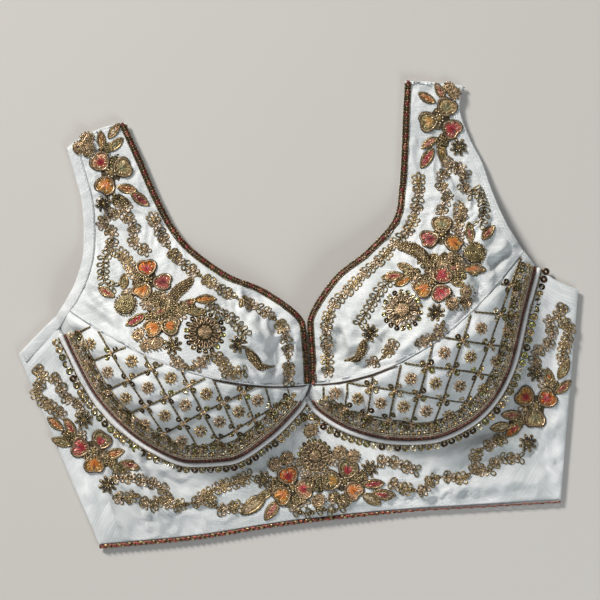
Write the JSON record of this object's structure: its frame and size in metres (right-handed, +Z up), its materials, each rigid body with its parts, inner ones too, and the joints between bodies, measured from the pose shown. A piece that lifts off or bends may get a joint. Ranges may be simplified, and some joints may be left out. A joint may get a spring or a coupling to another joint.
{
  "type": "choli blouse",
  "caption": "Sleeveless choli blouse laid flat, front up: moulded cups, wide straps, sweetheart neck, piped midriff band and low hooked back, for dense gold embroidery.",
  "frame": {"origin": "on the table below the middle of the garment's outline", "axes": "+X to the wearer's left across the garment, +Y from the hem to the shoulders, +Z up from the table through the front"},
  "size_m": [0.4504, 0.35, 0.0538],
  "materials": {
    "front_silk": "ivory white raw silk with slubs and a soft sheen",
    "back_silk": "plain ivory raw silk",
    "facing_silk": "ivory raw silk cut on the bias, topstitched",
    "neck_bead_trim": "gold beads and dark red thread blocks",
    "hem_bead_trim": "twisted gold and dark red cord",
    "cup_zari_braid": "dense antique gold beads and thread",
    "white_piping": "white silk over cord",
    "brass_wire": "plain drawn wire"
  },
  "bodies": {
    "root": {"armhole_facing_left": "facing_silk", "armhole_facing_right": "facing_silk", "back_left": "back_silk", "back_right": "back_silk", "cup_braid_left": "cup_zari_braid", "cup_braid_right": "cup_zari_braid", "cup_lower_left": "front_silk", "cup_lower_right": "front_silk", "cup_piping_left": "white_piping", "cup_piping_right": "white_piping", "eye_1": "brass_wire", "eye_2": "brass_wire", "eye_3": "brass_wire", "eye_4": "brass_wire", "eye_5": "brass_wire", "front_band": "front_silk", "front_upper_left": "front_silk", "front_upper_right": "front_silk", "hem_trim": "hem_bead_trim", "hook_1": "brass_wire", "hook_2": "brass_wire", "hook_3": "brass_wire", "hook_4": "brass_wire", "hook_5": "brass_wire", "neck_trim_left": "neck_bead_trim", "neck_trim_right": "neck_bead_trim"}
  },
  "joints": []
}
